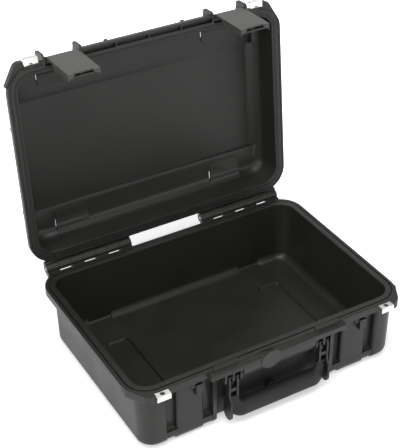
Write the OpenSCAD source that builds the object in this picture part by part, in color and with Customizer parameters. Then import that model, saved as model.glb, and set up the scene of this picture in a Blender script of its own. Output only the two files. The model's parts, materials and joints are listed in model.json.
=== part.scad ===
// Moulded case with a hinged lid, two trigger latches, a drop handle and steel padlock plates.
// Millimetres. X runs left to right, Y from the front to the hinges, Z up.
// The origin is the centre of the footprint, on the plane of the feet. The lid is drawn open.

/* [Case] */
// Width of the opening, left to right
inner_w = 432; // [424:1:440]
// Depth of the opening, front to hinges
inner_d = 292; // [286:1:298]
// Corner radius of the opening
inner_r = 24; // [22:1:27]
// Height of the parting plane above the feet
base_h = 113; // [108:1:124]
// Depth of the lid's hollow outside the raised panel
lid_depth = 48; // [46:1:56]
// How far the raised panel stands above the rest of the lid
panel_step = 5; // [3:0.5:7]
// Wall thickness
wall = 3.5; // [3:0.1:4]
// How far the base's inside leans in from rim to floor
draft_in = 3.5; // [2:0.5:5]
// How far the base's outside leans in from rim to floor
draft_out = 2; // [1:0.5:3]
// How far the lid's walls lean in from rim to panel
lid_draft = 2; // [1:0.5:3]
// Height of the feet under the floor
foot_h = 4; // [3:0.5:5]
// Thickness of the floor
floor_t = 2.5; // [2:0.1:4]
// Fillet between the floor and the walls inside
floor_r = 12; // [8:1:14]
// Fillet between the bottom and the walls outside
bottom_r = 12; // [8:1:14]
// Fillet between the lid's panel and its walls inside
lid_in_r = 16; // [12:1:18]
// Fillet between the lid's panel and its walls outside
lid_out_r = 19; // [15:1:20]

/* [Rim] */
// Width of the rim, outward from the opening
rim_w = 16.5; // [15.5:0.5:18]
// Thickness of the rim plate
rim_t = 6; // [5:0.5:7]
// Height of the skirt round the base's rim
skirt_h = 12; // [9:1:14]
// Thickness of the skirt
skirt_t = 3; // [2:0.5:3.5]
// Height of the lid's skirt
lid_skirt_h = 8; // [6:0.5:9]
// Where the groove in the base's rim starts, out from the opening
groove_o = 9; // [8.5:0.5:10]
// Width of the groove
groove_w = 2; // [1.5:0.5:2.5]
// Depth of the groove
groove_d = 3.6; // [2:0.2:4]
// Gap between the two rims when the lid is shut
rim_gap = 0.6; // [0.4:0.1:1]
// Width of the gasket
gasket_w = 3; // [2.5:0.1:3.5]
// Height of the gasket
gasket_h = 3.2; // [2.6:0.1:3.6]
// Where the gasket starts, out from the opening
gasket_o = 3.2; // [2.8:0.1:4]
// Rounding of the rims' edges
edge_r = 0.8; // [0.4:0.1:1]

/* [Hinges] */
// Angle of the open lid
lid_open = 95.7; // [90:0.1:110]
// Hinge axis behind the middle of the case
hinge_y = 172.7; // [172:0.1:175]
// Hinge axis above the parting plane
hinge_up = 2.25; // [1.5:0.05:2.6]
// Outside radius of a knuckle
knuckle_r = 7.5; // [6.5:0.1:7.8]
// Radius of a hinge pin
hinge_pin_r = 2; // [1.5:0.1:2.5]
// Running clearance round every pin
pin_play = 0.05; // [0.03:0.01:0.1]
// Outer end of a hinge, in from the side of the opening
hinge_end = 3.3; // [2:0.1:8]
// Pitch of the knuckles
knuckle_pitch = 21.1; // [20:0.1:21.5]
// Knuckles in a hinge
knuckle_n = 7; // [5:2:7]
// Gap between two knuckles
knuckle_gap = 0.6; // [0.4:0.1:1]

/* [Front of the base] */
// How far the corner columns stand forward of the front wall
column_out = 10.5; // [9:0.5:11]
// Inner face of a corner column, in from the side of the opening
column_in = 37.3; // [32:0.1:40]
// Middle of a latch bay, in from the side of the opening
latch_in = 75; // [72:1:78]
// Half width of a latch bay
bay_half = 22.4; // [20:0.1:22.4]
// Front face of a latch bay, forward of the opening
bay_out = 10; // [9:0.5:10.2]
// Fillet at the foot of a latch bay
bay_r = 14; // [10:1:16]
// Middle of a leg rib, in from the middle of the latch bay
rib_in = 40; // [39:1:43]
// Width of a leg rib
rib_w = 6; // [4:1:7]
// Top of the scoop at the foot of each channel, above the feet
scoop_z = 33; // [28:1:38]
// Radius of that scoop
scoop_r = 10.5; // [8:0.5:12]
// Radius of the round pad in the middle of the bottom
bottom_pad_r = 16; // [12:1:20]
// Width of a foot
foot_w = 40; // [32:1:42]
// Length of the middle feet, front to back
foot_l = 164; // [140:1:180]
// Front edge of the rear feet
rear_foot_y = 112; // [106:1:120]
// Height of the rear feet up the back wall
rear_foot_h = 40; // [30:1:50]
// Drop of the strike that a latch hooks on, below the rim's skirt
strike_h = 8; // [7:0.5:8.5]
// Width of a strike
strike_w = 7.5; // [6:0.5:8.5]
// Thickness of a strike
strike_t = 2.4; // [2:0.1:2.6]

/* [Handle] */
// End of the ledge over the handle, in from the middle of the latch bay
ledge_in = 26.5; // [25:0.5:29]
// How far the ledge stands forward of the opening
ledge_out = 26; // [24:0.5:28]
// Height of the ledge's front
ledge_h = 10.5; // [8:0.5:11]
// Ledge top below the parting plane
ledge_drop = 2.4; // [2:0.1:3]
// Handle axis forward of the opening
handle_out = 17.5; // [16.5:0.1:18.5]
// Handle axis below the parting plane
handle_down = 26; // [24:0.5:28]
// Radius of a handle pin
handle_pin_r = 1.75; // [1.5:0.05:2]
// Radius of an ear's end
ear_r = 6; // [5:0.1:6.2]
// Thickness of an ear
ear_t = 3.5; // [3:0.1:4]
// Middle ear, in from the middle of the latch bay
ear_in = 63.5; // [61:0.5:66]
// Pitch of the three ears
ear_pitch = 13; // [12.5:0.1:14]
// Thickness of a handle rail
rail_t = 3.2; // [2.6:0.1:3.8]
// Depth of the arms, front to back
arm_d = 9; // [7:0.5:10]
// Drop from the handle axis to the top of the grip
grip_drop = 47; // [44:1:50]
// Height of the grip
grip_h = 31; // [28:1:33]
// Depth of the grip, front to back
grip_d = 25; // [22:0.5:26]
// Depth of the cheek beside the grip, front to back
cheek_d = 21; // [18:1:22]

/* [Latches] */
// Width of a latch
latch_w = 49.5; // [49.2:0.1:50.5]
// Latch axis forward of the opening
latch_out = 12; // [12:0.1:12.6]
// Latch axis above the parting plane
latch_up = 11; // [11:0.1:11.6]
// Radius of a latch knuckle
latch_knuckle_r = 6.4; // [6:0.1:6.5]
// Radius of a latch pin
latch_pin_r = 1.75; // [1.5:0.05:2]
// Latch face forward of the opening, at its top
latch_face = 22; // [21.6:0.1:22.6]
// How far the latch face leans in towards its lower end
latch_lean = 4.3; // [3:0.1:4.6]
// Drop from the parting plane to the latch's lower end
latch_drop = 72.7; // [68:0.1:76]
// Thickness of the latch plate
latch_t = 2.5; // [2:0.1:2.6]
// Half width of the trigger
trigger_half = 14.8; // [12:0.1:15]
// Travel of the trigger
trigger_travel = 3; // [2:0.5:3]
// Thickness of the trigger
trigger_t = 2.6; // [2.2:0.1:2.8]
// Fin on each side of a latch: thickness
fin_t = 3.2; // [2.6:0.1:3.6]
// Fin height above the lid's rim
fin_h = 29; // [26:1:32]
// Half distance between the two fins of a latch
fin_half = 29.9; // [29:0.1:31]
// Wire of the trigger spring
spring_wire = 0.7; // [0.5:0.05:0.8]
// Mean radius of the trigger spring
spring_r = 2.05; // [1.8:0.05:2.1]
// Turns of the trigger spring
spring_turns = 5; // [4:1:5]
// Length of the trigger spring
spring_l = 7; // [6.5:0.1:7.5]

/* [Padlock plates and valve] */
// Middle of a padlock plate, in from the side of the opening
lock_in = 26; // [24:0.5:27]
// Width of a padlock plate
lock_w = 21.5; // [20:0.5:22]
// Padlock hole forward of the opening
lock_out = 20.5; // [20.5:0.1:21.5]
// Radius of the padlock hole
lock_r = 4; // [3.5:0.1:4]
// Thickness of a padlock plate
lock_t = 1.5; // [1.2:0.1:1.8]
// Front of a padlock plate, forward of the opening
lock_front = 26.5; // [26:0.5:29]
// Height of the turned lip of a padlock plate
lock_lip = 9; // [7:0.5:10]
// Height of the vent valve above the feet
valve_z = 25; // [22:0.5:27]
// Radius of the valve's cap
valve_r = 8; // [6.5:0.1:8.5]
// Radius of the valve's stem
valve_stem_r = 4.9; // [4:0.1:5.2]

/* [Hidden] */
$fn = 64;
sides = [-1, 1];
BLACK = "#2b2c2d";
RUBBER = "#1d1e1f";
STEEL = "#c8cacc";
GREY = "#56585a";

hx = inner_w / 2;                    // half width of the opening
hy = inner_d / 2;                    // half depth of the opening
core = inner_r - 4;                  // how far in from the opening a swept profile reaches
floor_z = foot_h + floor_t;          // top of the floor
lid_z = base_h + rim_gap;            // the lid's parting face when shut
hinge_z = base_h + hinge_up;
base_foot_o = wall - draft_out;      // outside wall at the bottom, out from the opening
panel_inset = 5;                     // sides of the raised panel inside, in from the opening
panel_front = -88;                   // front crease of the raised panel
panel_rear = 96;                     // rear crease of the raised panel
lid_top = lid_depth + wall;          // outside height of the lid beside the raised panel
pad_w = 56;                          // width of a stacking pocket in the lid
pad_y = 104;                         // inner edge of a stacking pocket
pad_d = 4.5;                         // depth of a stacking pocket
pad_r = 12;                          // round corners of a stacking pocket
foot_floor = 2.5;                    // thickness of a hollow foot
gasket_proud = 0.3;                  // how far the gasket stands out of its channel
gasket_play = 0.1;                   // clearance round the gasket in its channel
side_play = 0.3;                     // clearance beside sliding and swinging pieces

hinge_in = hx - hinge_end - knuckle_n * knuckle_pitch;
column_x = hx - column_in;
latch_x = hx - latch_in;
rib_x = latch_x - rib_in;
ledge_half = latch_x - ledge_in;
ear_x = latch_x - ear_in;
lock_x = hx - lock_in;
guard_out = 22;                      // front of a corner guard, out from the opening
guard_r = 12;                        // round nose of a corner guard
guard_x = lock_x + lock_w / 2;       // inner end of a corner guard, beside the padlock plate

function arc(cx, cz, r, a0, a1, n = 6) =
  [for (i = [0:n]) [cx + r * cos(a0 + (a1 - a0) * i / n), cz + r * sin(a0 + (a1 - a0) * i / n)]];

// ---- sweeps -------------------------------------------------------------------------------

// Extrudes a profile in Y and Z along X, from x0 to x1.
module along_x(x0, x1) {
  translate([x0, 0, 0]) rotate([90, 0, 90]) linear_extrude(x1 - x0) children();
}

// Extrudes a profile in X and Z along Y, from y0 to y1.
module along_y(y0, y1) {
  translate([0, y1, 0]) rotate([90, 0, 0]) linear_extrude(y1 - y0) children();
}

// A quarter turn of a profile of (out, z) round a corner of radius r.
module corner_sweep(r) {
  rotate_extrude(angle = 90, $fn = 96) translate([r, 0]) children();
}

// Carries a profile of (out, z) right round a rounded rectangle.
module ring_sweep(half_x, half_y, r) {
  for (q = [0:3]) {
    sx = (q == 0 || q == 3) ? 1 : -1;
    sy = q < 2 ? 1 : -1;
    translate([sx * (half_x - r), sy * (half_y - r), 0]) rotate([0, 0, 90 * q]) corner_sweep(r) children();
  }
  for (turn = [0, 180]) {
    rotate([0, 0, turn]) translate([half_x, 0, 0]) along_y(-(half_y - r), half_y - r) children();
    rotate([0, 0, turn + 90]) translate([half_y, 0, 0]) along_y(-(half_x - r), half_x - r) children();
  }
}

// A block that fills the middle of a swept ring.
module core_block(z0, z1) {
  translate([-(hx - core + 1), -(hy - core + 1), z0]) cube([2 * (hx - core + 1), 2 * (hy - core + 1), z1 - z0]);
}

// A cylinder along X between two stations.
module rod_x(x0, x1, y, z, r) {
  translate([x0, y, z]) rotate([0, 90, 0]) cylinder(h = x1 - x0, r = r);
}

// A box by its two corners.
module box(low, high) {
  translate(low) cube(high - low);
}

// Turns what is drawn shut on the case to the open lid.
module on_lid() {
  translate([0, hinge_y, hinge_z]) rotate([-lid_open, 0, 0]) translate([0, -hinge_y, -hinge_z]) children();
}

// ---- base ---------------------------------------------------------------------------------

module base_wall_profile(top) {
  polygon(concat([[-core, foot_h]],
    arc(base_foot_o - bottom_r, foot_h + bottom_r, bottom_r, -90, 0),
    [[wall, top], [-core, top]]));
}

module base_rim_profile() {
  under = base_h - rim_t;
  foot = base_h - skirt_h;
  polygon([[-core, under], [rim_w - skirt_t, under], [rim_w - skirt_t, foot], [rim_w, foot],
    [rim_w, base_h - edge_r], [rim_w - edge_r, base_h], [-core, base_h]]);
}

module base_cavity_profile() {
  polygon(concat([[-core, floor_z]],
    arc(-draft_in - floor_r, floor_z + floor_r, floor_r, -90, 0),
    [[0, base_h - edge_r], [edge_r, base_h], [edge_r, base_h + 2], [-core, base_h + 2]]));
}

module base_cavity() {
  ring_sweep(hx, hy, inner_r) base_cavity_profile();
  core_block(floor_z, base_h + 2);
  for (s = sides) translate([s * latch_x, 0, 0]) {
    foot_hollow();
    rear_notch();
  }
}

// Shallow hollow in the floor over a middle foot, with sloping sides.
module foot_hollow() {
  r = 8;
  in = r - 1;
  ring_sweep(foot_w / 2, foot_l / 2, r)
    polygon([[-in, foot_floor], [-2, foot_floor], [0, floor_z], [0, floor_z + 1], [-in, floor_z + 1]]);
  box([in - foot_w / 2 - 1, in - foot_l / 2 - 1, foot_floor], [foot_w / 2 - in + 1, foot_l / 2 - in + 1, floor_z + 1]);
}

// Notch in the floor's fillet over a rear foot.
module rear_notch() {
  r = 4;
  wall_y = hy - draft_in;
  along_x(-foot_w / 2, foot_w / 2)
    polygon(concat([[wall_y - floor_r - 2, floor_z]], arc(wall_y - r, floor_z + r, r, -90, 0),
      [[wall_y, floor_z + floor_r + 1], [wall_y - floor_r - 2, floor_z + floor_r + 1]]));
}

// The thick front corners, which stand forward like columns.
module corner_columns() {
  front = hy + column_out;
  top = base_h - 1;
  edge = 8;
  for (s = sides) mirror([s < 0 ? 1 : 0, 0, 0]) difference() {
    union() {
      translate([hx - inner_r, -(front - inner_r), 0]) rotate([0, 0, -90]) corner_sweep(inner_r) base_wall_profile(top);
      translate([hx, 0, 0]) along_y(-(front - inner_r), -(hy - inner_r)) base_wall_profile(top);
      rotate([0, 0, -90]) translate([front, 0, 0]) along_y(column_x, hx - inner_r) base_wall_profile(top);
      box([column_x, -(front - core + 1), foot_h], [hx - core + 1, -(hy - 8), top]);
    }
    // round inner edge
    translate([column_x, -(front + wall), 0]) linear_extrude(top)
      polygon(concat([[-1, -1], [edge, -1]], arc(edge, edge, edge, -90, -180), [[-1, edge]]));
  }
}

strike_low = base_h - skirt_h - strike_h;
strike_in = 2.25;                    // middle of the strike, to the right of the bay's middle
guard_low = strike_low - 15;

// Front parts carried on the base wall: latch bays, leg ribs and the band that closes their channels.
module front_blocks() {
  back = -(hy - 5);
  top = base_h - rim_t + 1;
  bay_y = -(hy + bay_out);
  rib_y = bay_y - 1;
  edge = 4.5;
  bay_y_in = bay_out + 6;
  for (s = sides) {
    intersection() {
      along_x(s * latch_x - bay_half, s * latch_x + bay_half)
        polygon(concat([[back, 0]], arc(bay_y + bay_r, bay_r, bay_r, -90, -180), [[bay_y, top], [back, top]]));
      translate([s * latch_x, bay_y, -1]) linear_extrude(top + 2)
        polygon(concat([[-bay_half, bay_y_in]], arc(edge - bay_half, edge, edge, 180, 270),
          arc(bay_half - edge, edge, edge, 270, 360), [[bay_half, bay_y_in]]));
    }
    along_x(s * rib_x - rib_w / 2, s * rib_x + rib_w / 2)
      polygon(concat([[back, foot_h]], arc(rib_y + bottom_r, foot_h + bottom_r, bottom_r, -90, -180),
        [[rib_y, base_h - ledge_drop - 1], [back, base_h - ledge_drop - 1]]));
    mirror([s < 0 ? 1 : 0, 0, 0]) along_x(rib_x, column_x + 1)
      polygon(concat([[back, foot_h]], arc(bay_y + bottom_r, foot_h + bottom_r, bottom_r, -90, -180),
        arc(bay_y, scoop_z, scoop_r, -90, 0), [[back, scoop_z]]));
    strike(s * latch_x);
    strike_guard(s * latch_x);
  }
}

// Strike: it stands off the bay's face, so the trigger's nose can reach up behind it.
module strike(x) {
  face = -(hy + bay_out + 5);
  box([x + strike_in - strike_w / 2, face, strike_low], [x + strike_in + strike_w / 2, face + strike_t, base_h - rim_t + 1]);
}

// Block beside the strike that keeps the closed latch from sliding sideways.
module strike_guard(x) {
  box([x + strike_in + strike_w / 2 + 0.5, -(hy + rim_w), guard_low], [x + strike_in + strike_w / 2 + 11.5, -(hy + 5), strike_low + 3]);
}

module feet() {
  cylinder(h = foot_h + 1, r = bottom_pad_r);
  for (s = sides) {
    box([s * latch_x - foot_w / 2 - 2, -foot_l / 2 - 2, 0], [s * latch_x + foot_w / 2 + 2, foot_l / 2 + 2, foot_h + 1]);
    box([s * latch_x - bay_half, -(hy - 6), 0], [s * latch_x + bay_half, -(hy - 32), foot_h + 1]);
    rear = hy + base_foot_o + 0.6;
    along_x(s * latch_x - foot_w / 2, s * latch_x + foot_w / 2)
      polygon(concat([[rear_foot_y, 0]], arc(rear - bay_r, bay_r, bay_r, -90, 0),
        [[rear, rear_foot_h], [rear - 3, rear_foot_h + 5], [rear - 8, rear_foot_h + 5], [rear - 8, foot_h + 1],
        [rear_foot_y, foot_h + 1]]));
  }
}

// Plan of the guard round a front corner of the rims, seen on the right.
module guard_plan() {
  polygon(concat([[guard_x, -(hy - 4)], [guard_x, -(hy + guard_out)]],
    arc(hx - guard_out + guard_r, -(hy + guard_out - guard_r), guard_r, -90, -30),
    [[hx + rim_w - 0.5, -(hy - 11)], [hx - 4, -(hy - 11)]]));
}

module corner_guards(z0, z1) {
  for (s = sides) mirror([s < 0 ? 1 : 0, 0, 0]) translate([0, 0, z0]) linear_extrude(z1 - z0) guard_plan();
}

// Groove round the base's rim.
module rim_groove() {
  ring_sweep(hx, hy, inner_r) translate([groove_o, base_h - groove_d]) square([groove_w, groove_d + 1]);
}

boss_x = -16;                        // middle of the round boss on the ledge
boss_r = 17;

module handle_ledge() {
  back = -(hy + 2);
  front = -(hy + ledge_out);
  top = base_h - ledge_drop;
  low = top - ledge_h;
  along_x(-ledge_half, ledge_half)
    polygon(concat([[back, low], [front + 1, low], [front, low + 1]], arc(front + 4, top - 4, 4, 180, 90),
      [[back, top]]));
  // curved apron under the ledge, between the handle's ears
  apron = ear_x - ear_pitch - ear_t / 2 - 1.4;
  apron_front = front + 1.2;
  apron_r = 29.8;
  apron_turn = 49;
  along_x(-apron, apron)
    polygon(concat([[back, low + 1], [apron_front, low + 1]],
      arc(apron_front + apron_r, low, apron_r, 180, 180 + apron_turn), [[back, low - apron_r * sin(apron_turn) - 1.5]]));
  // plain round boss on the ledge, left of the middle
  translate([boss_x, front + 4, low + 1]) rotate([98, 0, 0]) cylinder(h = 4.6, r = boss_r);
}

// Bars on the ledge that locate the lid's front channel.
module ledge_bars() {
  bar_in = ear_x - 11.5;
  bar_end = ledge_half - 8.5;
  for (s = sides)
    mirror([s < 0 ? 1 : 0, 0, 0])
      box([bar_in, -(hy + rim_w + 0.9), base_h - 4], [bar_end, -(hy + groove_o + groove_w + 1), base_h + 2.4]);
}

handle_y = -(hy + handle_out);
handle_z = base_h - handle_down;
function ear_at(i) = ear_x + (i - 1) * ear_pitch;

module handle_ears() {
  top = base_h - ledge_drop - ledge_h + 1;
  for (s = sides, i = [0:2]) {
    x = s * ear_at(i);
    box([x - ear_t / 2, handle_y - ear_r, handle_z], [x + ear_t / 2, -(hy + 1), top]);
    rod_x(x - ear_t / 2, x + ear_t / 2, handle_y, handle_z, ear_r);
    box([x - ear_t / 2, handle_y, handle_z - ear_r], [x + ear_t / 2, -(hy + 1), handle_z]);
  }
}

// Knuckles of one hinge: the base has the even ones and the lid the odd ones.
module knuckles(first) {
  for (s = sides, k = [first:2:knuckle_n - 1]) {
    a = hinge_in + k * knuckle_pitch + knuckle_gap / 2;
    b = a + knuckle_pitch - knuckle_gap;
    rod_x(s > 0 ? a : -b, s > 0 ? b : -a, hinge_y, hinge_z, knuckle_r);
  }
}

module knuckle_webs(first, web) {
  for (s = sides, k = [first:2:knuckle_n - 1]) {
    a = hinge_in + k * knuckle_pitch + knuckle_gap / 2;
    b = a + knuckle_pitch - knuckle_gap;
    along_x(s > 0 ? a : -b, s > 0 ? b : -a) polygon(web);
  }
}

module hinge_bores() {
  for (s = sides) {
    a = hinge_in - 1;
    b = hinge_in + knuckle_n * knuckle_pitch + 1;
    rod_x(s > 0 ? a : -b, s > 0 ? b : -a, hinge_y, hinge_z, hinge_pin_r + pin_play);
  }
}

module valve_bosses() {
  translate([0, -(hy - 3.6), valve_z]) rotate([90, 0, 0]) cylinder(h = 5.8, r = valve_r + 1.6);
}

module base_shell() {
  rim_y = hy + rim_w;
  color(BLACK) difference() {
    union() {
      ring_sweep(hx, hy, inner_r) base_wall_profile(base_h - 2);
      ring_sweep(hx, hy, inner_r) base_rim_profile();
      core_block(foot_h, floor_z + 2);
      corner_columns();
      front_blocks();
      feet();
      corner_guards(base_h - skirt_h - 1, base_h);
      handle_ledge();
      handle_ears();
      ledge_bars();
      knuckles(0);
      knuckle_webs(0, [[hy + rim_w - 2, base_h - skirt_h + 1], [rim_y + 1, base_h - skirt_h + 1],
        [hinge_y + 1, hinge_z - knuckle_r + 0.1], [hinge_y, hinge_z], [hinge_y - knuckle_r + 0.1, base_h - 0.2],
        [hy + rim_w - 2, base_h - 0.2]]);
    }
    difference() {
      base_cavity();
      valve_bosses();
    }
    rim_groove();
    hinge_bores();
    for (s = sides) {
      // handle pin bore through the three ears
      rod_x(s * ear_x - ear_pitch - ear_t, s * ear_x + ear_pitch + ear_t, handle_y, handle_z, handle_pin_r + pin_play);
      // slot of the padlock plate
      box([s * lock_x - lock_w / 2 - side_play, -(hy + 50), base_h - lock_seat],
        [s * lock_x + lock_w / 2 + side_play, -(hy + groove_o + groove_w + 1), base_h - lock_skin]);
    }
    translate([0, -(hy - 10), valve_z]) rotate([90, 0, 0]) cylinder(h = 30, r = valve_stem_r + 0.1);
  }
}

// ---- hinge pins ---------------------------------------------------------------------------

module hinge_pin(s) {
  a = hinge_in + knuckle_gap / 2;
  b = hinge_in + knuckle_n * knuckle_pitch - knuckle_gap / 2;
  color(STEEL) rod_x(s > 0 ? a : -b, s > 0 ? b : -a, hinge_y, hinge_z, hinge_pin_r);
}

// ---- padlock plates -----------------------------------------------------------------------

lock_skin = 1.2;                     // rim left over a padlock plate
lock_seat = lock_t + lock_skin;

// Plate with a padlock hole and a lip turned away from the parting plane.
module lock_plate() {
  back = -(hy + groove_o + groove_w + 1.4);
  front = -(hy + lock_front);
  difference() {
    union() {
      box([-lock_w / 2, front, 0], [lock_w / 2, back, lock_t]);
      box([-lock_w / 2, front, -lock_lip + lock_t], [lock_w / 2, front + lock_t, lock_t]);
    }
    translate([0, -(hy + lock_out), -1]) cylinder(h = lock_t + 2, r = lock_r);
  }
}

module base_lock_plate(s) {
  color(STEEL) translate([s * lock_x, 0, base_h - lock_seat]) lock_plate();
}

module lid_lock_plate(s) {
  color(STEEL) on_lid() translate([s * lock_x, 0, lid_z + lock_seat]) mirror([0, 0, 1]) lock_plate();
}

// ---- vent valve ---------------------------------------------------------------------------

valve_seat_y = -(hy + 2.2);
valve_inner_y = -(hy - 3.6);
seal_t = 0.8;

module valve_body() {
  color(GREY) translate([0, valve_seat_y, valve_z]) rotate([90, 0, 0]) {
    translate([0, 0, seal_t]) cylinder(h = 2.2, r = valve_r);
    translate([0, 0, -15]) cylinder(h = 15 + seal_t + 1, r = valve_stem_r);
  }
}

module valve_seal() {
  color(RUBBER) translate([0, valve_seat_y, valve_z]) rotate([90, 0, 0]) difference() {
    cylinder(h = seal_t, r = valve_r - 0.8);
    translate([0, 0, -1]) cylinder(h = seal_t + 2, r = valve_stem_r + 0.1);
  }
}

module valve_nut() {
  color(GREY) translate([0, valve_inner_y + 4, valve_z]) rotate([90, 0, 0]) difference() {
    cylinder(h = 4, r = valve_r + 0.6, $fn = 6);
    translate([0, 0, -1]) cylinder(h = 6, r = valve_stem_r + 0.1);
  }
}

// ---- handle -------------------------------------------------------------------------------

module handle_pin(s) {
  reach = ear_pitch + ear_t / 2;
  color(STEEL) rod_x(s * ear_x - reach, s * ear_x + reach, handle_y, handle_z, handle_pin_r);
}

rail_in = ear_x - ear_pitch / 2;     // middle of the inner rail
rail_out = ear_x + ear_pitch / 2;    // middle of the outer rail
grip_half = rail_out - rail_t / 2 - 0.4;
arm_front = handle_y - 2 - arm_d / 2;
arm_back = handle_y - 2 + arm_d / 2;
grip_top = handle_z - grip_drop;
grip_low = grip_top - grip_h;
grip_y = handle_y - 2;
arm_foot = grip_top + 13;            // where the arms run into the grip

module handle_frame() {
  color(BLACK) difference() {
    union() {
      for (s = sides) mirror([s < 0 ? 1 : 0, 0, 0]) {
        for (x = [rail_in, rail_out]) {
          rod_x(x - rail_t / 2, x + rail_t / 2, handle_y, handle_z, ear_r - 0.3);
          box([x - rail_t / 2, arm_front, arm_foot - 1], [x + rail_t / 2, arm_back, handle_z]);
        }
        // rungs of the ladder
        for (rung = [handle_z - 22, arm_foot - 1])
          box([rail_in - 1, arm_front + 1, rung], [rail_out + 1, arm_back - 1, rung + (rung > arm_foot ? 6 : 3)]);
        // outer cheek that runs down beside the grip
        cheek_r = cheek_d / 2;
        along_x(rail_out - rail_t / 2, rail_out + rail_t / 2)
          polygon(concat([[arm_front, arm_foot + 4], [grip_y - cheek_r, arm_foot - 5]],
            arc(grip_y, grip_low + 4 + cheek_r, cheek_r, 180, 360, 12), [[grip_y + cheek_r, arm_foot - 5], [arm_back, arm_foot + 4]]));
      }
      // core of the grip
      box([-grip_half - 1, grip_y - 3, grip_low + 11], [grip_half + 1, grip_y + 3, grip_low + 20]);
    }
    for (s = sides)
      rod_x(s * ear_x - 2 * ear_pitch, s * ear_x + 2 * ear_pitch, handle_y, handle_z, handle_pin_r + pin_play);
  }
}

module grip_outline() {
  stub = grip_half - 15;
  polygon(concat([[-grip_half, arm_foot - 1], [-grip_half, grip_low + 18]],
    arc(-grip_half + 18, grip_low + 18, 18, 180, 270), arc(grip_half - 18, grip_low + 18, 18, -90, 0),
    [[grip_half, arm_foot - 1], [stub, arm_foot - 1]], arc(stub - 8, grip_top + 8, 8, 0, -90),
    arc(-stub + 8, grip_top + 8, 8, -90, -180), [[-stub, arm_foot - 1]]));
}

module handle_grip() {
  r = 9;
  y0 = grip_y - grip_d / 2;
  y1 = grip_y + grip_d / 2;
  color(RUBBER) difference() {
    union() {
      along_y(arm_front + 0.5, arm_back - 0.5) grip_outline();
      intersection() {
        along_y(y0 - 1, y1 + 1) grip_outline();
        along_x(-grip_half, grip_half)
          polygon(concat(arc(y0 + r, grip_low + r, r, 180, 270), arc(y1 - r, grip_low + r, r, -90, 0),
            arc(y1 - r, grip_top - r, r, 0, 90), arc(y0 + r, grip_top - r, r, 90, 180)));
      }
    }
    box([-grip_half - 1, grip_y - 3, grip_low + 11], [grip_half + 1, grip_y + 3, grip_low + 20]);
  }
}

// ---- lid ----------------------------------------------------------------------------------

// Side profile of the lid's hollow, from the rim to the panel, as (out, z).
function lid_inside(depth) = concat([[edge_r, 0], [0, edge_r]],
  arc(-lid_draft - lid_in_r, depth - lid_in_r, lid_in_r, 0, 90));

// Side profile of the lid's outside, from the skirt to the panel, as (out, z).
function lid_outside(top) = concat([[rim_w - edge_r, 0], [rim_w, edge_r], [rim_w, lid_skirt_h], [wall, lid_skirt_h + 3]],
  arc(wall - lid_draft - lid_out_r, top - lid_out_r, lid_out_r, 0, 90));

module lid_outer_profile() {
  polygon(concat([[-core, 0], [12, 0], [12, 1.2], [13, 1.2], [13, 0]], lid_outside(lid_top), [[-core, lid_top]]));
}

module lid_cavity_profile() {
  polygon(concat([[-core, -2], [edge_r, -2]], lid_inside(lid_depth), [[-core, lid_depth]]));
}

// The raised panel between its two creases, as a section right across the lid.
module panel_section(side, top, low) {
  right = [for (p = side) [hx + p[0], p[1]]];
  left = [for (i = [len(side) - 1:-1:0]) [-hx - side[i][0], side[i][1]]];
  polygon(concat([[hx + side[0][0], low]], right, left, [[-hx - side[0][0], low]]));
}

module lid_cavity() {
  ring_sweep(hx, hy, inner_r) lid_cavity_profile();
  core_block(-2, lid_depth);
  deep = lid_depth + panel_step;
  along_y(panel_front, panel_rear)
    panel_section(concat([[-panel_inset, 0]], arc(-panel_inset - lid_in_r, deep - lid_in_r, lid_in_r, 0, 90)), deep, -2);
}

// What stays hollow in front of a pad: the pad stands in from the wall and has a fillet of its own.
module pad_hollow(sx, sy) {
  r = 10;
  depth = lid_depth - pad_d;
  mirror([0, sy < 0 ? 1 : 0, 0]) along_x(sx * latch_x - pad_w / 2 - 1, sx * latch_x + pad_w / 2 + 1)
    translate([hy, 0]) polygon(concat([[-60, -3], [edge_r, -3], [edge_r, 0], [0, edge_r]],
      arc(-lid_draft - 1 - r, depth - r, r, 0, 90), [[-60, depth]]));
}

// A pad with two round corners towards the middle of the lid, on one side of it.
module rounded_pad(sx, sy, y0, y1, z0, z1) {
  r = pad_r;
  mirror([0, sy < 0 ? 1 : 0, 0]) translate([sx * latch_x, 0, z0]) linear_extrude(z1 - z0)
    polygon(concat([[pad_w / 2, y1]], arc(pad_w / 2 - r, y0 + r, r, 0, -90),
      arc(r - pad_w / 2, y0 + r, r, -90, -180), [[-pad_w / 2, y1]]));
}

latch_y = -(hy + latch_out);
latch_z = lid_z + latch_up;
latch_face_y = -(hy + latch_face);

// Fins that carry a latch, with their pin bore cut later.
module latch_fins(x) {
  back = -(hy - 1);
  tip = -(hy + 26.5);
  for (s = sides)
    along_x(x + s * fin_half - fin_t / 2, x + s * fin_half + fin_t / 2)
      translate([0, lid_z]) polygon(concat([[back, 0], [tip + 4, 0], [tip, 4]],
        arc(tip + 6, fin_h - 6, 6, 180, 75), [[-(hy + 2), fin_h + 5], [back, fin_h + 5]]));
}

// Ledge on the lid's front, between the latches, with an open channel below it.
module lid_ledge() {
  front = -(hy + 21.5);
  half = latch_x - fin_half - fin_t / 2 + 1;
  along_x(-half, half)
    translate([0, lid_z]) polygon([[-(hy + 1), 0], [front + edge_r, 0], [front, edge_r], [front, 9], [front + 1.5, 10.5],
      [-(hy + 1), 14]]);
}

module lid_channel() {
  half = latch_x - fin_half - fin_t / 2;
  ribs = [-half - 1, -56, -54, -1, 1, 54, 56, half + 1];
  for (i = [0:2:len(ribs) - 2])
    box([ribs[i] + (i == 0 ? 1 : 0), -(hy + 18.1), lid_z - 1],
      [ribs[i + 1] - (i == len(ribs) - 2 ? 1 : 0), -(hy + 11.3), lid_z + 6]);
}

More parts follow.
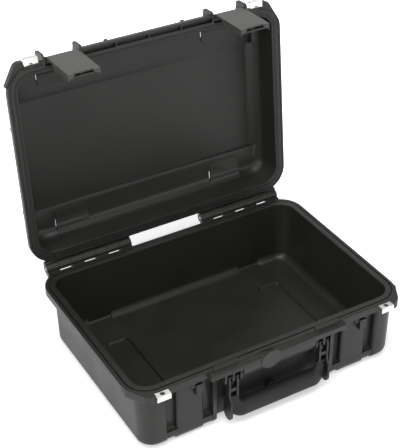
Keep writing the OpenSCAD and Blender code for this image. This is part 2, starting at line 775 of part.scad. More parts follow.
// Channel that holds the gasket.
module gasket_channel() {
  depth = gasket_h - gasket_proud + gasket_play;
  translate([0, 0, lid_z]) ring_sweep(hx, hy, inner_r)
    translate([gasket_o, -1]) square([gasket_w + 2 * gasket_play, depth + 1]);
}

guard_step = 5;                      // corner guard of the lid above its parting face

// Small nubs and corner guards on the lid's rim.
module lid_bumpers() {
  z = lid_z + 15.5;
  for (s = sides) {
    translate([s * 65, -(hy + 3), z]) rotate([90, 0, 0]) cylinder(h = 17.5, r = 3);
    for (y = [-66, 73]) translate([s * (hx + 2), y, z]) rotate([0, s * 90, 0]) cylinder(h = 12, r = 3);
  }
  corner_guards(lid_z + guard_step, lid_z + guard_step + 10);
}

// Step in the lid's rim below a corner guard.
module corner_steps() {
  for (s = sides) mirror([s < 0 ? 1 : 0, 0, 0]) translate([0, 0, lid_z - 1]) linear_extrude(guard_step + 1) difference() {
    translate([guard_x + side_play, -(hy + 40)]) square([hx + 30 - guard_x, 40 + 10]);
    translate([hx - inner_r, -(hy - inner_r)]) circle(inner_r + 12.5);
  }
}

module lid_solid() {
  translate([0, 0, lid_z]) {
    ring_sweep(hx, hy, inner_r) lid_outer_profile();
    core_block(lid_depth - 2, lid_top);
    along_y(panel_front - wall, panel_rear + wall)
      panel_section([for (p = lid_outside(lid_top + panel_step)) if (p[1] > lid_skirt_h) p], lid_top + panel_step, lid_skirt_h + 3);
  }
  for (s = sides) latch_fins(s * latch_x);
  lid_ledge();
  lid_bumpers();
  knuckles(1);
  knuckle_webs(1, [[hy + rim_w - 2, lid_z + 0.2], [hinge_y - knuckle_r + 0.1, lid_z + 0.2], [hinge_y, hinge_z],
    [hinge_y + 1, hinge_z + knuckle_r - 0.1], [hinge_y - 5, lid_z + lid_skirt_h + 1], [hy + rim_w - 2, lid_z + lid_skirt_h]]);
  // lip over the knuckles that closes the gap between the rims
  for (s = sides) mirror([s < 0 ? 1 : 0, 0, 0])
    along_x(hinge_in, hinge_in + knuckle_n * knuckle_pitch)
      polygon(concat([[hy + rim_w - 1, lid_z + 0.4]], arc(hinge_y, hinge_z, knuckle_r + 0.5, 185, 130),
        arc(hinge_y, hinge_z, knuckle_r + 2.3, 130, 165), [[hy + rim_w - 1, lid_z + lid_skirt_h - 1]]));
}

module lid_shell() {
  color(BLACK) on_lid() difference() {
    lid_solid();
    difference() {
      translate([0, 0, lid_z]) lid_cavity();
      for (sx = sides, sy = sides) translate([0, 0, lid_z]) difference() {
        rounded_pad(sx, sy, pad_y, hy + 4, -1, lid_depth + 1);
        pad_hollow(sx, sy);
      }
    }
    // stacking pockets for the feet of another case
    for (sx = sides, sy = sides)
      rounded_pad(sx, sy, pad_y + 2.5, hy + 20, lid_z + lid_top - pad_d, lid_z + lid_top + 1);
    gasket_channel();
    hinge_bores();
    lid_channel();
    corner_steps();
    for (s = sides) {
      x = s * latch_x;
      // room for the latch between its fins
      box([x - fin_half + fin_t / 2, -(hy + 40), lid_z - 1], [x + fin_half - fin_t / 2, -(hy + 8), lid_z + 30]);
      box([x - fin_half + fin_t / 2, -(hy + 40), lid_z + 4], [x + fin_half - fin_t / 2, -(hy + 5), lid_z + 22]);
      rod_x(x - fin_half - fin_t, x + fin_half + fin_t, latch_y, latch_z, latch_pin_r + pin_play);
      // slot of the padlock plate
      box([s * lock_x - lock_w / 2 - side_play, -(hy + 50), lid_z + lock_skin],
        [s * lock_x + lock_w / 2 + side_play, -(hy + groove_o + groove_w + 1), lid_z + lock_seat]);
    }
  }
}

module lid_gasket() {
  color(RUBBER) on_lid() translate([0, 0, lid_z]) ring_sweep(hx, hy, inner_r)
    translate([gasket_o + gasket_play, -gasket_proud]) square([gasket_w, gasket_h]);
}

// ---- latches ------------------------------------------------------------------------------

latch_low = base_h - latch_drop;
plate_top = lid_z + 1.8;

// Front face of the latch at a height, and its inner face.
function face_at(z) = latch_face_y + latch_lean * (plate_top - z) / (plate_top - latch_low);
function inner_at(z) = face_at(z) + latch_t;

trigger_back = -(hy + bay_out + 0.7);      // inner face of the trigger, just clear of the bay
trigger_face = trigger_back - trigger_t;
nose_top = strike_low + 1.2;
window_top = latch_low + 19;               // top of the trigger's spring window
trigger_top = guard_low - 1.2;
shelf_top = window_top - spring_l - trigger_travel - 0.4;

module latch_pin(s) {
  reach = fin_half + fin_t / 2;
  color(STEEL) on_lid() rod_x(s * latch_x - reach, s * latch_x + reach, latch_y, latch_z, latch_pin_r);
}

module latch_body() {
  half = latch_w / 2;
  difference() {
    union() {
      // plate that curls over the pin
      along_x(-half, half)
        polygon(concat([[inner_at(latch_low), latch_low], [face_at(latch_low), latch_low], [latch_face_y, plate_top]],
          arc(latch_y, latch_z, latch_knuckle_r, 150, 90, 4), [[latch_y, latch_z], [latch_y - latch_knuckle_r + 0.6, latch_z - 3],
          [inner_at(plate_top - 3), plate_top - 3]]));
      rod_x(-half, half, latch_y, latch_z, latch_knuckle_r);
      // side walls that reach back past the bay
      for (s = sides) mirror([s < 0 ? 1 : 0, 0, 0]) {
        along_x(half - 1.7, half)
          polygon([[face_at(latch_low) + 1, latch_low], [trigger_back + 3, latch_low], [trigger_back + 3, base_h - skirt_h - 10],
            [-(hy + rim_w + 0.9), base_h - skirt_h - 2.5], [-(hy + rim_w + 0.9), plate_top - 3], [face_at(plate_top) + 1, plate_top - 3]]);
        // closed corner of the lower end
        box([trigger_half + 0.4, face_at(latch_low) + 1, latch_low], [half - 1, trigger_back, latch_low + 2.5]);
        // rail that guides the trigger
        box([trigger_half + side_play, inner_at(latch_low) - 1, latch_low + 1], [trigger_half + 3.6, trigger_back, trigger_top - 1]);
      }
      // shelf that the spring pushes on
      box([-2.6, inner_at(latch_low) - 1, shelf_top - 1.8], [2.6, trigger_back - 0.4, shelf_top]);
    }
    rod_x(-half - 1, half + 1, latch_y, latch_z, latch_pin_r + pin_play);
    for (s = sides)
      mirror([s < 0 ? 1 : 0, 0, 0])
        box([trigger_half - 1, trigger_face + 0.4, latch_low - 1], [trigger_half + 1.9, trigger_face + 1.8, trigger_top]);
    // finger notch over the trigger
    box([-trigger_half, latch_face_y - 1, latch_low - 1], [trigger_half, trigger_face, latch_low + 3.5]);
  }
}

module trigger_body() {
  difference() {
    union() {
      box([-trigger_half, trigger_face, latch_low + 9], [trigger_half, trigger_back, trigger_top]);
      // tongues that run in the latch's rails
      box([-trigger_half - 1.5, trigger_face + 0.7, latch_low + 10], [trigger_half + 1.5, trigger_face + 1.5, trigger_top - 3]);
      // nose that hooks up behind the strike
      box([strike_in - strike_w / 2 + 0.5, trigger_back - 1.5, trigger_top - 1], [strike_in + strike_w / 2 - 0.5, trigger_back, nose_top]);
      // finger lip at the lower end
      box([-trigger_half, trigger_back - 1.3, latch_low + 0.5], [trigger_half, trigger_back, latch_low + 10]);
    }
    box([-3.2, trigger_face - 2, shelf_top - 1.8 - 0.4], [3.2, trigger_back + 1, window_top]);
  }
}

function helix_point(t) = [spring_r * cos(360 * t * spring_turns), spring_r * sin(360 * t * spring_turns),
  spring_wire / 2 + t * (spring_l - spring_wire)];

// Unbroken coiled wire, standing on z = 0.
module coil() {
  steps = spring_turns * 10;
  ring = 6;
  points = [for (i = [0:steps], j = [0:ring - 1]) let (t = i / steps, c = helix_point(t), a = 360 * t * spring_turns,
    w = spring_wire / 2, b = 360 * j / ring) [c[0] + w * cos(b) * cos(a), c[1] + w * cos(b) * sin(a), c[2] + w * sin(b)]];
  walls = [for (i = [0:steps - 1], j = [0:ring - 1]) let (a = i * ring + j, b = i * ring + (j + 1) % ring)
    each [[a, b, b + ring], [a, b + ring, a + ring]]];
  start = [for (j = [1:ring - 2]) [0, j + 1, j]];
  last = steps * ring;
  finish = [for (j = [1:ring - 2]) [last, last + j, last + j + 1]];
  polyhedron(points, concat(walls, start, finish));
}

module trigger_spring(s) {
  color(STEEL) on_lid() translate([s * latch_x, trigger_face + 0.2, window_top - spring_l - 0.1]) coil();
}

module latch(s) {
  color(GREY) on_lid() translate([s * latch_x, 0, 0]) latch_body();
}

module latch_trigger(s) {
  color(GREY) on_lid() translate([s * latch_x, 0, 0]) trigger_body();
}

echo(trigger_spring_gap = (spring_l - spring_wire) / spring_turns - spring_wire);

base_shell();
base_lock_plate(-1);  // base_lock_plate_left
base_lock_plate(1);  // base_lock_plate_right
hinge_pin(-1);  // hinge_pin_left
hinge_pin(1);  // hinge_pin_right
valve_body();
valve_seal();
valve_nut();
handle_pin(-1);  // handle_pin_left
handle_pin(1);  // handle_pin_right
handle_frame();
handle_grip();
lid_shell();
lid_gasket();
lid_lock_plate(-1);  // lid_lock_plate_left
lid_lock_plate(1);  // lid_lock_plate_right
latch_pin(-1);  // latch_pin_left
latch_pin(1);  // latch_pin_right
latch(-1);  // latch_left
latch(1);  // latch_right
latch_trigger(-1);  // latch_trigger_left
latch_trigger(1);  // latch_trigger_right
trigger_spring(-1);  // trigger_spring_left
trigger_spring(1);  // trigger_spring_right
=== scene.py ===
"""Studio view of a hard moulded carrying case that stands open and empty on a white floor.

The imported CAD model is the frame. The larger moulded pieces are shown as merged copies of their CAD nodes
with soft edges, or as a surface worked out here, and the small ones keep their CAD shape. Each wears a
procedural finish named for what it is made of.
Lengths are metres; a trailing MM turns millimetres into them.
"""

import json
import logging
import math
from abc import ABC, abstractmethod
from dataclasses import dataclass, field
from enum import Enum

import bmesh
import bpy
import numpy as np
from mathutils import Matrix


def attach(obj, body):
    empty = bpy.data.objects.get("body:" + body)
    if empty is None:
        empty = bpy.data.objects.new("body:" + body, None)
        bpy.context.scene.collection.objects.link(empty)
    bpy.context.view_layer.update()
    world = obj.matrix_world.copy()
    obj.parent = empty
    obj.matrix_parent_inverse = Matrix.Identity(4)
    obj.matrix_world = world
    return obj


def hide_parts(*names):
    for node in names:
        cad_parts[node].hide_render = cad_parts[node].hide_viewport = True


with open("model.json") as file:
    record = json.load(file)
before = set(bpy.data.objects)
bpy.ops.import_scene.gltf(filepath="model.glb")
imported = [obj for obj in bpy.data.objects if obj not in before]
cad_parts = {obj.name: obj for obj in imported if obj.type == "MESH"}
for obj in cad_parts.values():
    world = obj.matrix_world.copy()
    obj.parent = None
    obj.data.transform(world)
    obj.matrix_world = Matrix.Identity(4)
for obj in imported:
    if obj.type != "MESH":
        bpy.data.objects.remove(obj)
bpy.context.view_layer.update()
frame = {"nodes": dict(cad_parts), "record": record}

MM = 0.001
MERGE_REACH = 0.002 * MM              # loose triangles closer than this share their corners
FLAT_ANGLE = math.radians(0.5)        # faces that turn less than this become one flat face
CREASE_ANGLE = math.radians(28)       # edges that turn more than this stay sharp
SIDES = ("left", "right")
log = logging.getLogger("case")


# ---- colour and shader helpers ------------------------------------------------------------------


def linear(code: str) -> tuple[float, float, float, float]:
    """Turn an sRGB hex colour into linear light.

    Args:
        code: Six hex digits, with or without a leading mark.

    Returns:
        Red, green, blue and an alpha of one.
    """
    digits = code.lstrip("#")
    levels = [int(digits[i:i + 2], 16) / 255 for i in (0, 2, 4)]
    light = [v / 12.92 if v <= 0.04045 else ((v + 0.055) / 1.055) ** 2.4 for v in levels]
    return (*light, 1.0)


def add_node(tree: bpy.types.NodeTree, kind: str, settings: dict | None = None,
             sockets: dict | None = None) -> bpy.types.Node:
    """Add one shader node with its settings and its links.

    Args:
        tree: The node tree that gets the node.
        kind: Blender's type name, without the leading word Shader.
        settings: Attributes of the node.
        sockets: Input name or index, and a number, a colour or another node's output.

    Returns:
        The new node.
    """
    node = tree.nodes.new("Shader" + kind)
    for name, value in (settings or {}).items():
        setattr(node, name, value)
    for key, value in (sockets or {}).items():
        if isinstance(value, bpy.types.NodeSocket):
            tree.links.new(value, node.inputs[key])
        else:
            node.inputs[key].default_value = value
    return node


# ---- finishes -----------------------------------------------------------------------------------


@dataclass(frozen=True)
class Finish(ABC):
    """A surface finish that several pieces may wear. Its material is made once."""

    name: str

    def material(self) -> bpy.types.Material:
        """Return the finish's material, which is made on first use."""
        made = bpy.data.materials.get(self.name)
        if made is None:
            made = bpy.data.materials.new(self.name)
            made.use_nodes = True
            made.node_tree.nodes.clear()
            self.build(made.node_tree)
        return made

    @abstractmethod
    def build(self, tree: bpy.types.NodeTree) -> None:
        """Fill an empty node tree with the finish.

        Args:
            tree: The material's node tree.
        """


@dataclass(frozen=True)
class MouldedPlastic(Finish):
    """Injection-moulded plastic with a fine spark-eroded grain.

    The eye gets a soft, even sheen, a slight mottle where the melt cooled unevenly, and grain that
    breaks up the reflection of the white floor.
    """

    colour: str = "232321"
    mottle: float = 0.22              # share by which the colour rises and falls
    mottle_size: float = 55 * MM
    mottle_detail: float = 3.0
    mottle_roughness: float = 0.55
    mottle_range: tuple[float, float] = (0.3, 0.7)
    roughness: float = 0.42
    smoother: float = 0.04            # how far the roughness falls below its middle
    rougher: float = 0.05             # how far it rises above it
    grain_size: float = 0.9 * MM      # the real grain is about 0.2 mm, drawn coarser so that it shows
    grain_detail: float = 2.0
    grain_roughness: float = 0.6
    grain_depth: float = 0.035 * MM
    grain_strength: float = 0.5
    edge_radius: float = 0.7 * MM
    edge_rays: int = 6
    index: float = 1.4

    def build(self, tree: bpy.types.NodeTree) -> None:
        """Lay mottled colour under a grained, softly glossy surface with rounded edges.

        Args:
            tree: The material's node tree.
        """
        place = add_node(tree, "NodeTexCoord").outputs["Object"]
        cloud = add_node(tree, "NodeTexNoise", sockets={"Vector": place, "Scale": 1 / self.mottle_size,
                                                        "Detail": self.mottle_detail,
                                                        "Roughness": self.mottle_roughness})
        base = linear(self.colour)
        dark = tuple(v * (1 - self.mottle) for v in base[:3]) + (1.0,)
        light = tuple(v * (1 + self.mottle) for v in base[:3]) + (1.0,)
        colour = add_node(tree, "NodeMix", {"data_type": "RGBA"},
                          {0: cloud.outputs["Fac"], 6: dark, 7: light})
        sheen = add_node(tree, "NodeMapRange", sockets={"Value": cloud.outputs["Fac"],
                                                        "From Min": self.mottle_range[0],
                                                        "From Max": self.mottle_range[1],
                                                        "To Min": self.roughness - self.smoother,
                                                        "To Max": self.roughness + self.rougher})
        grain = add_node(tree, "NodeTexNoise", sockets={"Vector": place, "Scale": 1 / self.grain_size,
                                                        "Detail": self.grain_detail,
                                                        "Roughness": self.grain_roughness})
        edge = add_node(tree, "NodeBevel", {"samples": self.edge_rays}, {"Radius": self.edge_radius})
        bump = add_node(tree, "NodeBump", sockets={"Height": grain.outputs["Fac"],
                                                   "Strength": self.grain_strength,
                                                   "Distance": self.grain_depth,
                                                   "Normal": edge.outputs["Normal"]})
        skin = add_node(tree, "NodeBsdfPrincipled", sockets={"Base Color": colour.outputs[2],
                                                             "Roughness": sheen.outputs["Result"],
                                                             "Normal": bump.outputs["Normal"],
                                                             "IOR": self.index})
        add_node(tree, "NodeOutputMaterial", sockets={"Surface": skin.outputs["BSDF"]})


@dataclass(frozen=True)
class Metal(Finish):
    """Bare steel, pressed or drawn, with fine lines along one direction.

    The eye gets a bright, slightly streaked reflection of whatever stands round it.
    """

    colour: str = "cfcfca"
    roughness: float = 0.24
    smoother: float = 0.08            # how far the roughness falls below its middle
    rougher: float = 0.12             # how far it rises above it
    line_pitch: float = 0.5 * MM      # rolling lines are finer than a pixel, so they are drawn wider
    line_stretch: tuple[float, float, float] = (0.06, 1.0, 1.0)
    line_detail: float = 2.0
    line_depth: float = 0.02 * MM
    line_strength: float = 0.15

    def build(self, tree: bpy.types.NodeTree) -> None:
        """Streak the roughness and the surface along one direction.

        Args:
            tree: The material's node tree.
        """
        place = add_node(tree, "NodeTexCoord").outputs["Object"]
        drawn = add_node(tree, "NodeMapping", sockets={"Vector": place, "Scale": self.line_stretch})
        lines = add_node(tree, "NodeTexNoise", sockets={"Vector": drawn.outputs["Vector"],
                                                        "Scale": 1 / self.line_pitch,
                                                        "Detail": self.line_detail})
        rough = add_node(tree, "NodeMapRange", sockets={"Value": lines.outputs["Fac"],
                                                        "To Min": self.roughness - self.smoother,
                                                        "To Max": self.roughness + self.rougher})
        bump = add_node(tree, "NodeBump", sockets={"Height": lines.outputs["Fac"],
                                                   "Strength": self.line_strength,
                                                   "Distance": self.line_depth})
        skin = add_node(tree, "NodeBsdfPrincipled", sockets={"Base Color": linear(self.colour),
                                                             "Metallic": 1.0,
                                                             "Roughness": rough.outputs["Result"],
                                                             "Normal": bump.outputs["Normal"]})
        add_node(tree, "NodeOutputMaterial", sockets={"Surface": skin.outputs["BSDF"]})


# Shells and handle frame: near black, with the soft sheen of a grained mould.
POLYPROPYLENE = MouldedPlastic("moulded_polypropylene")
# Latches, triggers and valve: a lighter grey with a smoother satin face.
NYLON = MouldedPlastic("moulded_nylon", colour="434341", mottle=0.12, roughness=0.36, grain_depth=0.02 * MM)
# Grip: soft and dull, with a coarser and deeper grain.
OVERMOULD = MouldedPlastic("soft_overmould", colour="1c1c1b", mottle=0.15, roughness=0.62,
                           grain_size=1.4 * MM, grain_depth=0.12 * MM)
# Gasket and valve seal: the darkest and dullest of all.
RUBBER = MouldedPlastic("solid_rubber_cord", colour="1a1a19", mottle=0.1, roughness=0.6, edge_radius=0.3 * MM)
# Padlock plates: bright sheet that is rolled, then pressed, so its shine is spread wide.
STAINLESS = Metal("pressed_stainless", colour="e2e2de", roughness=0.4)
# Pins and springs: drawn wire and rod, with lines along their length.
TURNED = Metal("drawn_steel_rod", roughness=0.3, line_stretch=(1.0, 0.05, 0.05))


# ---- pieces -------------------------------------------------------------------------------------


def body_of(node: str) -> str:
    """Return the body that a CAD node rides on."""
    bodies = frame["record"]["behaviour"]["bodies"]
    return next(body for body, nodes in bodies.items() if node in nodes)


def stand_for(piece: bpy.types.Object, node: str, finish: Finish) -> None:
    """Let a piece take the place of a CAD node.

    Args:
        piece: The finished piece.
        node: The CAD node that it replaces.
        finish: What it is made of.
    """
    piece.data.materials.clear()
    piece.data.materials.append(finish.material())
    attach(piece, body_of(node))
    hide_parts(node)
    log.info("%s stands for %s on %s", piece.name, node, body_of(node))


def merged_copy(node: str, name: str) -> bpy.types.Object:
    """Copy a CAD node's mesh with its loose triangles joined and smoothed between its creases.

    Args:
        node: The CAD node.
        name: The new piece's name.

    Returns:
        The new piece, without a finish.
    """
    mesh = frame["nodes"][node].data.copy()
    mesh.name = name
    work = bmesh.new()
    work.from_mesh(mesh)
    bmesh.ops.remove_doubles(work, verts=work.verts, dist=MERGE_REACH)
    bmesh.ops.dissolve_limit(work, angle_limit=FLAT_ANGLE, verts=work.verts, edges=work.edges)
    work.to_mesh(mesh)
    work.free()
    mesh.shade_smooth()
    mesh.set_sharp_from_angle(angle=CREASE_ANGLE)
    piece = bpy.data.objects.new(name, mesh)
    bpy.context.collection.objects.link(piece)
    flats = piece.modifiers.new("flat_faces_stay_flat", "WEIGHTED_NORMAL")
    flats.mode = "FACE_AREA"
    flats.keep_sharp = True
    return piece


def swept_skin(name: str, rings: np.ndarray) -> bpy.types.Object:
    """Skin a row of closed rings and close both ends.

    Args:
        name: The new piece's name.
        rings: Points as (ring, point round the ring, 3), in metres.

    Returns:
        The new piece, smooth and without a finish.
    """
    count, around = rings.shape[:2]
    index = np.arange(count * around).reshape(count, around)
    after = np.roll(index, -1, axis=1)
    walls = np.stack([index[:-1], index[1:], after[1:], after[:-1]], axis=-1).reshape(-1, 4)
    mesh = bpy.data.meshes.new(name)
    mesh.from_pydata(rings.reshape(-1, 3).tolist(), [],
                     walls.tolist() + [index[0].tolist(), index[-1, ::-1].tolist()])
    mesh.shade_smooth()
    piece = bpy.data.objects.new(name, mesh)
    bpy.context.collection.objects.link(piece)
    return piece


def dress(node: str, finish: Finish) -> None:
    """Give a CAD node whose shape is right its finish.

    Args:
        node: The CAD node, which stays as it is.
        finish: What it is made of.
    """
    for place in frame["nodes"][node].material_slots:
        place.link = "OBJECT"
        place.material = finish.material()
    log.info("%s keeps its shape on %s", node, body_of(node))


# ---- sub-assemblies -----------------------------------------------------------------------------


class SubAssembly(ABC):
    """A group of pieces that are built and dressed together."""

    @abstractmethod
    def build(self) -> None:
        """Make the group's pieces and give them their finishes."""


@dataclass
class Shells(SubAssembly):
    """The two moulded shells."""

    nodes: tuple[str, ...] = ("base_shell", "lid_shell")

    def build(self) -> None:
        """Show each shell as a merged copy."""
        for node in self.nodes:
            stand_for(merged_copy(node, node + "_moulding"), node, POLYPROPYLENE)


@dataclass
class DropHandle(SubAssembly):
    """The drop handle: its moulded frame, its soft crowned grip and its two pins."""

    half_length: float = 82 * MM
    top: float = 40 * MM               # top of the bar, above the feet
    low: float = 13 * MM               # bottom of the bar
    foot: float = 53 * MM              # where the necks meet the frame's arms
    neck: float = 15 * MM              # width of a neck
    middle: float = -165.5 * MM        # middle of the grip, front to back
    bar_depth: float = 11 * MM         # half depth of the bar
    neck_depth: float = 4 * MM         # half depth of a neck
    outer_round: float = 20 * MM
    inner_round: float = 8 * MM
    fullness: float = 2.6              # two gives an ellipse, more gives a squarer section
    corner_steps: int = 16
    around: int = 48

    def edge(self, reach: float, level: float, radius: float) -> np.ndarray:
        """Return one edge of the grip from the left neck round the bar to the right neck.

        The points run down at x = -reach, turn through a corner and end at the middle of the bar;
        the other half mirrors them. A corner point is (radius - reach - radius cos t,
        level + radius - radius sin t), with t from 0 to 90 degrees.

        Args:
            reach: Distance of the upright part from the middle.
            level: Height of the level part.
            radius: Radius of the corner.

        Returns:
            Points as (x, z).
        """
        turn = np.linspace(0, math.pi / 2, self.corner_steps)
        corner = np.stack([radius - reach - radius * np.cos(turn),
                           level + radius - radius * np.sin(turn)], axis=1)
        bar = np.stack([np.linspace(radius - reach, 0, self.corner_steps)[1:],
                        np.full(self.corner_steps - 1, level)], axis=1)
        half = np.concatenate([[[-reach, self.foot]], corner, bar])
        return np.concatenate([half, half[-2::-1] * (-1, 1)])

    def grip(self) -> bpy.types.Object:
        """Skin superellipses between the grip's outer and inner edge.

        At each station the section is C + E |cos v|^(2/n) sgn(cos v) in the upright plane and
        D |sin v|^(2/n) sgn(sin v) front to back, where C and E are the middle and half the distance
        of the two edges, D the half depth and n the fullness. D grows from neck to bar along the corner.

        Returns:
            The grip.
        """
        outer = self.edge(self.half_length, self.low, self.outer_round)
        inner = self.edge(self.half_length - self.neck, self.top, self.inner_round)
        centre, reach = (outer + inner) / 2, (outer - inner) / 2
        share = np.clip((np.arange(len(outer)) - 1) / (self.corner_steps - 1), 0, 1)
        share = np.minimum(share, share[::-1])
        depth = self.neck_depth + (self.bar_depth - self.neck_depth) * share * share * (3 - 2 * share)
        turn = np.linspace(0, 2 * math.pi, self.around, endpoint=False)
        along, deep = (np.sign(w) * np.abs(w) ** (2 / self.fullness) for w in (np.cos(turn), np.sin(turn)))
        plane = centre[:, None] + reach[:, None] * along[None, :, None]
        back = self.middle + depth[:, None] * deep[None]
        return swept_skin("handle_grip_overmould", np.stack([plane[..., 0], back, plane[..., 1]], axis=-1))

    def build(self) -> None:
        """Show the frame as a merged copy, model the grip and keep the pins."""
        stand_for(merged_copy("handle_frame", "handle_frame_moulding"), "handle_frame", POLYPROPYLENE)
        stand_for(self.grip(), "handle_grip", OVERMOULD)
        for side in SIDES:
            dress(f"handle_pin_{side}", TURNED)


@dataclass
class Latch(SubAssembly):
    """One latch with its trigger, its spring and the pin that it swings on."""

    side: str

    def build(self) -> None:
        """Show the two mouldings as merged copies and keep the steel pieces."""
        stand_for(merged_copy(f"latch_{self.side}", f"latch_plate_{self.side}"), f"latch_{self.side}", NYLON)
        stand_for(merged_copy(f"latch_trigger_{self.side}", f"latch_trigger_moulding_{self.side}"),
                  f"latch_trigger_{self.side}", NYLON)
        dress(f"trigger_spring_{self.side}", TURNED)
        dress(f"latch_pin_{self.side}", TURNED)


@dataclass
class SmallParts(SubAssembly):
    """Gasket, padlock plates, hinge pins and vent valve."""

    finishes: dict[str, Finish] = field(default_factory=lambda: {
        "lid_gasket": RUBBER, "valve_seal": RUBBER, "valve_body": NYLON, "valve_nut": NYLON,
        "hinge_pin_left": TURNED, "hinge_pin_right": TURNED,
        "base_lock_plate_left": STAINLESS, "base_lock_plate_right": STAINLESS,
        "lid_lock_plate_left": STAINLESS, "lid_lock_plate_right": STAINLESS})

    def build(self) -> None:
        """Dress each node."""
        for node, finish in self.finishes.items():
            dress(node, finish)


# ---- studio -------------------------------------------------------------------------------------


@dataclass(frozen=True)
class StudioPaper(Finish):
    """Matt white paper that reads as pure white, away from the shadow, to the lens and in reflections."""

    colour: str = "f4f4f4"
    shadow_reach: float = 0.3         # the glow starts to rise at this distance from the case
    white_reach: float = 0.9          # and is full at this one
    glow_near: float = 0.5            # glow under the case

    def build(self, tree: bpy.types.NodeTree) -> None:
        """Lay a glow over matt paper, which rises with the distance from the case.

        Args:
            tree: The material's node tree.
        """
        place = add_node(tree, "NodeTexCoord").outputs["Object"]
        reach = add_node(tree, "NodeVectorMath", {"operation": "LENGTH"}, {0: place})
        glow = add_node(tree, "NodeMapRange", {"interpolation_type": "SMOOTHSTEP"},
                        {"Value": reach.outputs["Value"], "From Min": self.shadow_reach,
                         "From Max": self.white_reach, "To Min": self.glow_near, "To Max": 1.0})
        path = add_node(tree, "NodeLightPath")
        seen = add_node(tree, "NodeMath", {"operation": "ADD", "use_clamp": True},
                        {0: path.outputs["Is Camera Ray"], 1: path.outputs["Is Glossy Ray"]})
        seen = add_node(tree, "NodeMath", {"operation": "ADD", "use_clamp": True},
                        {0: seen.outputs[0], 1: path.outputs["Is Transmission Ray"]})
        level = add_node(tree, "NodeMath", {"operation": "MULTIPLY"},
                         {0: seen.outputs[0], 1: glow.outputs["Result"]})
        paper = add_node(tree, "NodeBsdfDiffuse", sockets={"Color": linear(self.colour)})
        light = add_node(tree, "NodeEmission", sockets={"Strength": level.outputs[0]})
        both = add_node(tree, "NodeAddShader", sockets={0: paper.outputs[0], 1: light.outputs[0]})
        add_node(tree, "NodeOutputMaterial", sockets={"Surface": both.outputs[0]})


class Rig(Enum):
    """The lamps: place, aim, width, height and power in watts."""

    OVERHEAD = ((-0.5, -0.6, 2.6), (0.0, 0.0, 0.1), 2.0, 1.6, 60.0)
    LEFT = ((-2.4, -0.6, 1.3), (0.0, 0.0, 0.1), 1.4, 1.6, 22.0)
    FRONT = ((0.9, -2.5, 1.2), (0.0, 0.0, 0.15), 1.4, 1.4, 9.0)
    BEHIND = ((0.7, 1.5, 2.2), (0.0, 0.0, 0.1), 1.6, 1.2, 12.0)


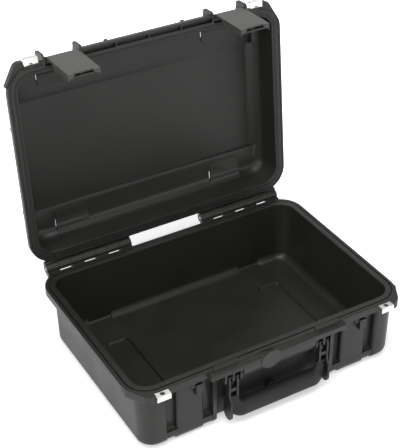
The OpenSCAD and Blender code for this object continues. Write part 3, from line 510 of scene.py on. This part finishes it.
@dataclass
class Studio:
    """A white bowl of paper with lamps in it and a dim ceiling."""

    floor_radius: float = 3.2
    bend_radius: float = 1.2
    bend_points: int = 12
    wall_height: float = 1.0
    segments: int = 64                # pieces that the bowl's turn is cut into
    ceiling: float = 0.07             # strength of the room's light above the paper

    def backdrop(self) -> None:
        """Turn a profile of floor, bend and wall once round the case."""
        bend = np.linspace(0, math.pi / 2, self.bend_points)
        out = np.concatenate([[0.0], self.floor_radius + self.bend_radius * np.sin(bend),
                              [self.floor_radius + self.bend_radius]])
        up = np.concatenate([[0.0], self.bend_radius * (1 - np.cos(bend)),
                             [self.bend_radius + self.wall_height]])
        turn = np.linspace(0, 2 * math.pi, self.segments + 1)[:-1, None]
        grid = np.stack([out * np.cos(turn), out * np.sin(turn), up + 0 * turn], axis=-1)
        rows, columns = grid.shape[:2]
        index = np.arange(rows * columns).reshape(rows, columns)
        after = np.roll(index, -1, axis=0)
        faces = np.stack([index[:, :-1], index[:, 1:], after[:, 1:], after[:, :-1]], axis=-1).reshape(-1, 4)
        mesh = bpy.data.meshes.new("paper_bowl")
        mesh.from_pydata(grid.reshape(-1, 3).tolist(), [], faces.tolist())
        mesh.shade_smooth()
        mesh.materials.append(StudioPaper("studio_paper").material())
        bowl = bpy.data.objects.new("paper_bowl", mesh)
        bpy.context.collection.objects.link(bowl)

    def lamps(self) -> None:
        """Hang each soft lamp of the rig, aimed at the case."""
        for lamp in Rig:
            place, aim, width, height, power = lamp.value
            light = bpy.data.lights.new(lamp.name.lower(), "AREA")
            light.shape = "RECTANGLE"
            light.size = width
            light.size_y = height
            light.energy = power
            holder = bpy.data.objects.new(lamp.name.lower(), light)
            away = np.array(place) - np.array(aim)
            away = away / np.linalg.norm(away)
            across = np.cross((0.0, 0.0, 1.0), away)
            across = across / np.linalg.norm(across)
            holder.matrix_world = columns(across, np.cross(away, across), away, np.array(place))
            bpy.context.collection.objects.link(holder)

    def room(self) -> None:
        """Fill the room above the paper with an even dim grey."""
        world = bpy.data.worlds.new("dim_room")
        world.use_nodes = True
        world.node_tree.nodes.clear()
        grey = add_node(world.node_tree, "NodeBackground", sockets={"Color": (1.0, 1.0, 1.0, 1.0),
                                                                    "Strength": self.ceiling})
        add_node(world.node_tree, "NodeOutputWorld", sockets={"Surface": grey.outputs[0]})
        bpy.context.scene.world = world

    def build(self) -> None:
        """Make the backdrop, the lamps and the room."""
        self.backdrop()
        self.lamps()
        self.room()
        bpy.context.scene.view_settings.view_transform = "Standard"


def columns(across: np.ndarray, up: np.ndarray, back: np.ndarray, place: np.ndarray) -> Matrix:
    """Return the 4 x 4 matrix with these axes and this place."""
    return Matrix([[*row] for row in np.column_stack([across, up, back, place])] + [[0.0, 0.0, 0.0, 1.0]])


@dataclass
class PhotoCamera:
    """The camera that stands where the photograph was taken, solved from the rim, lid and hinge line."""

    place: tuple[float, float, float] = (-0.74336, -1.24627, 1.21509)
    heading: float = math.radians(29.717)
    fall: float = math.radians(34.304)
    roll: float = math.radians(-0.657)
    focal_pixels: float = 1190.6
    picture: tuple[int, int] = (400, 448)
    axis_pixel: tuple[float, float] = (200.6, 225.3)
    sensor: float = 36.0              # width in mm, as Blender measures lenses
    far: float = 50.0

    def build(self) -> None:
        """Make the camera and let the scene look through it."""
        ahead = np.array([math.sin(self.heading) * math.cos(self.fall),
                          math.cos(self.heading) * math.cos(self.fall), -math.sin(self.fall)])
        right = np.cross(ahead, (0.0, 0.0, 1.0))
        right = right / np.linalg.norm(right)
        up = np.cross(right, ahead)
        cos, sin = math.cos(self.roll), math.sin(self.roll)
        lens = bpy.data.cameras.new("photo_camera")
        lens.sensor_fit = "HORIZONTAL"
        lens.sensor_width = self.sensor
        lens.lens = self.sensor * self.focal_pixels / self.picture[0]
        lens.shift_x = (self.picture[0] / 2 - self.axis_pixel[0]) / self.picture[0]
        lens.shift_y = (self.axis_pixel[1] - self.picture[1] / 2) / self.picture[0]
        lens.clip_end = self.far
        holder = bpy.data.objects.new("photo_camera", lens)
        holder.matrix_world = columns(cos * right + sin * up, cos * up - sin * right, -ahead,
                                      np.array(self.place))
        bpy.context.collection.objects.link(holder)
        bpy.context.scene.camera = holder


def main() -> None:
    """Build the case, the studio and the camera."""
    logging.basicConfig(level=logging.INFO, format="%(message)s")
    PhotoCamera().build()
    for group in (Shells(), DropHandle(), *(Latch(side) for side in SIDES), SmallParts()):
        group.build()
    Studio().build()


if __name__ == "__main__":
    main()
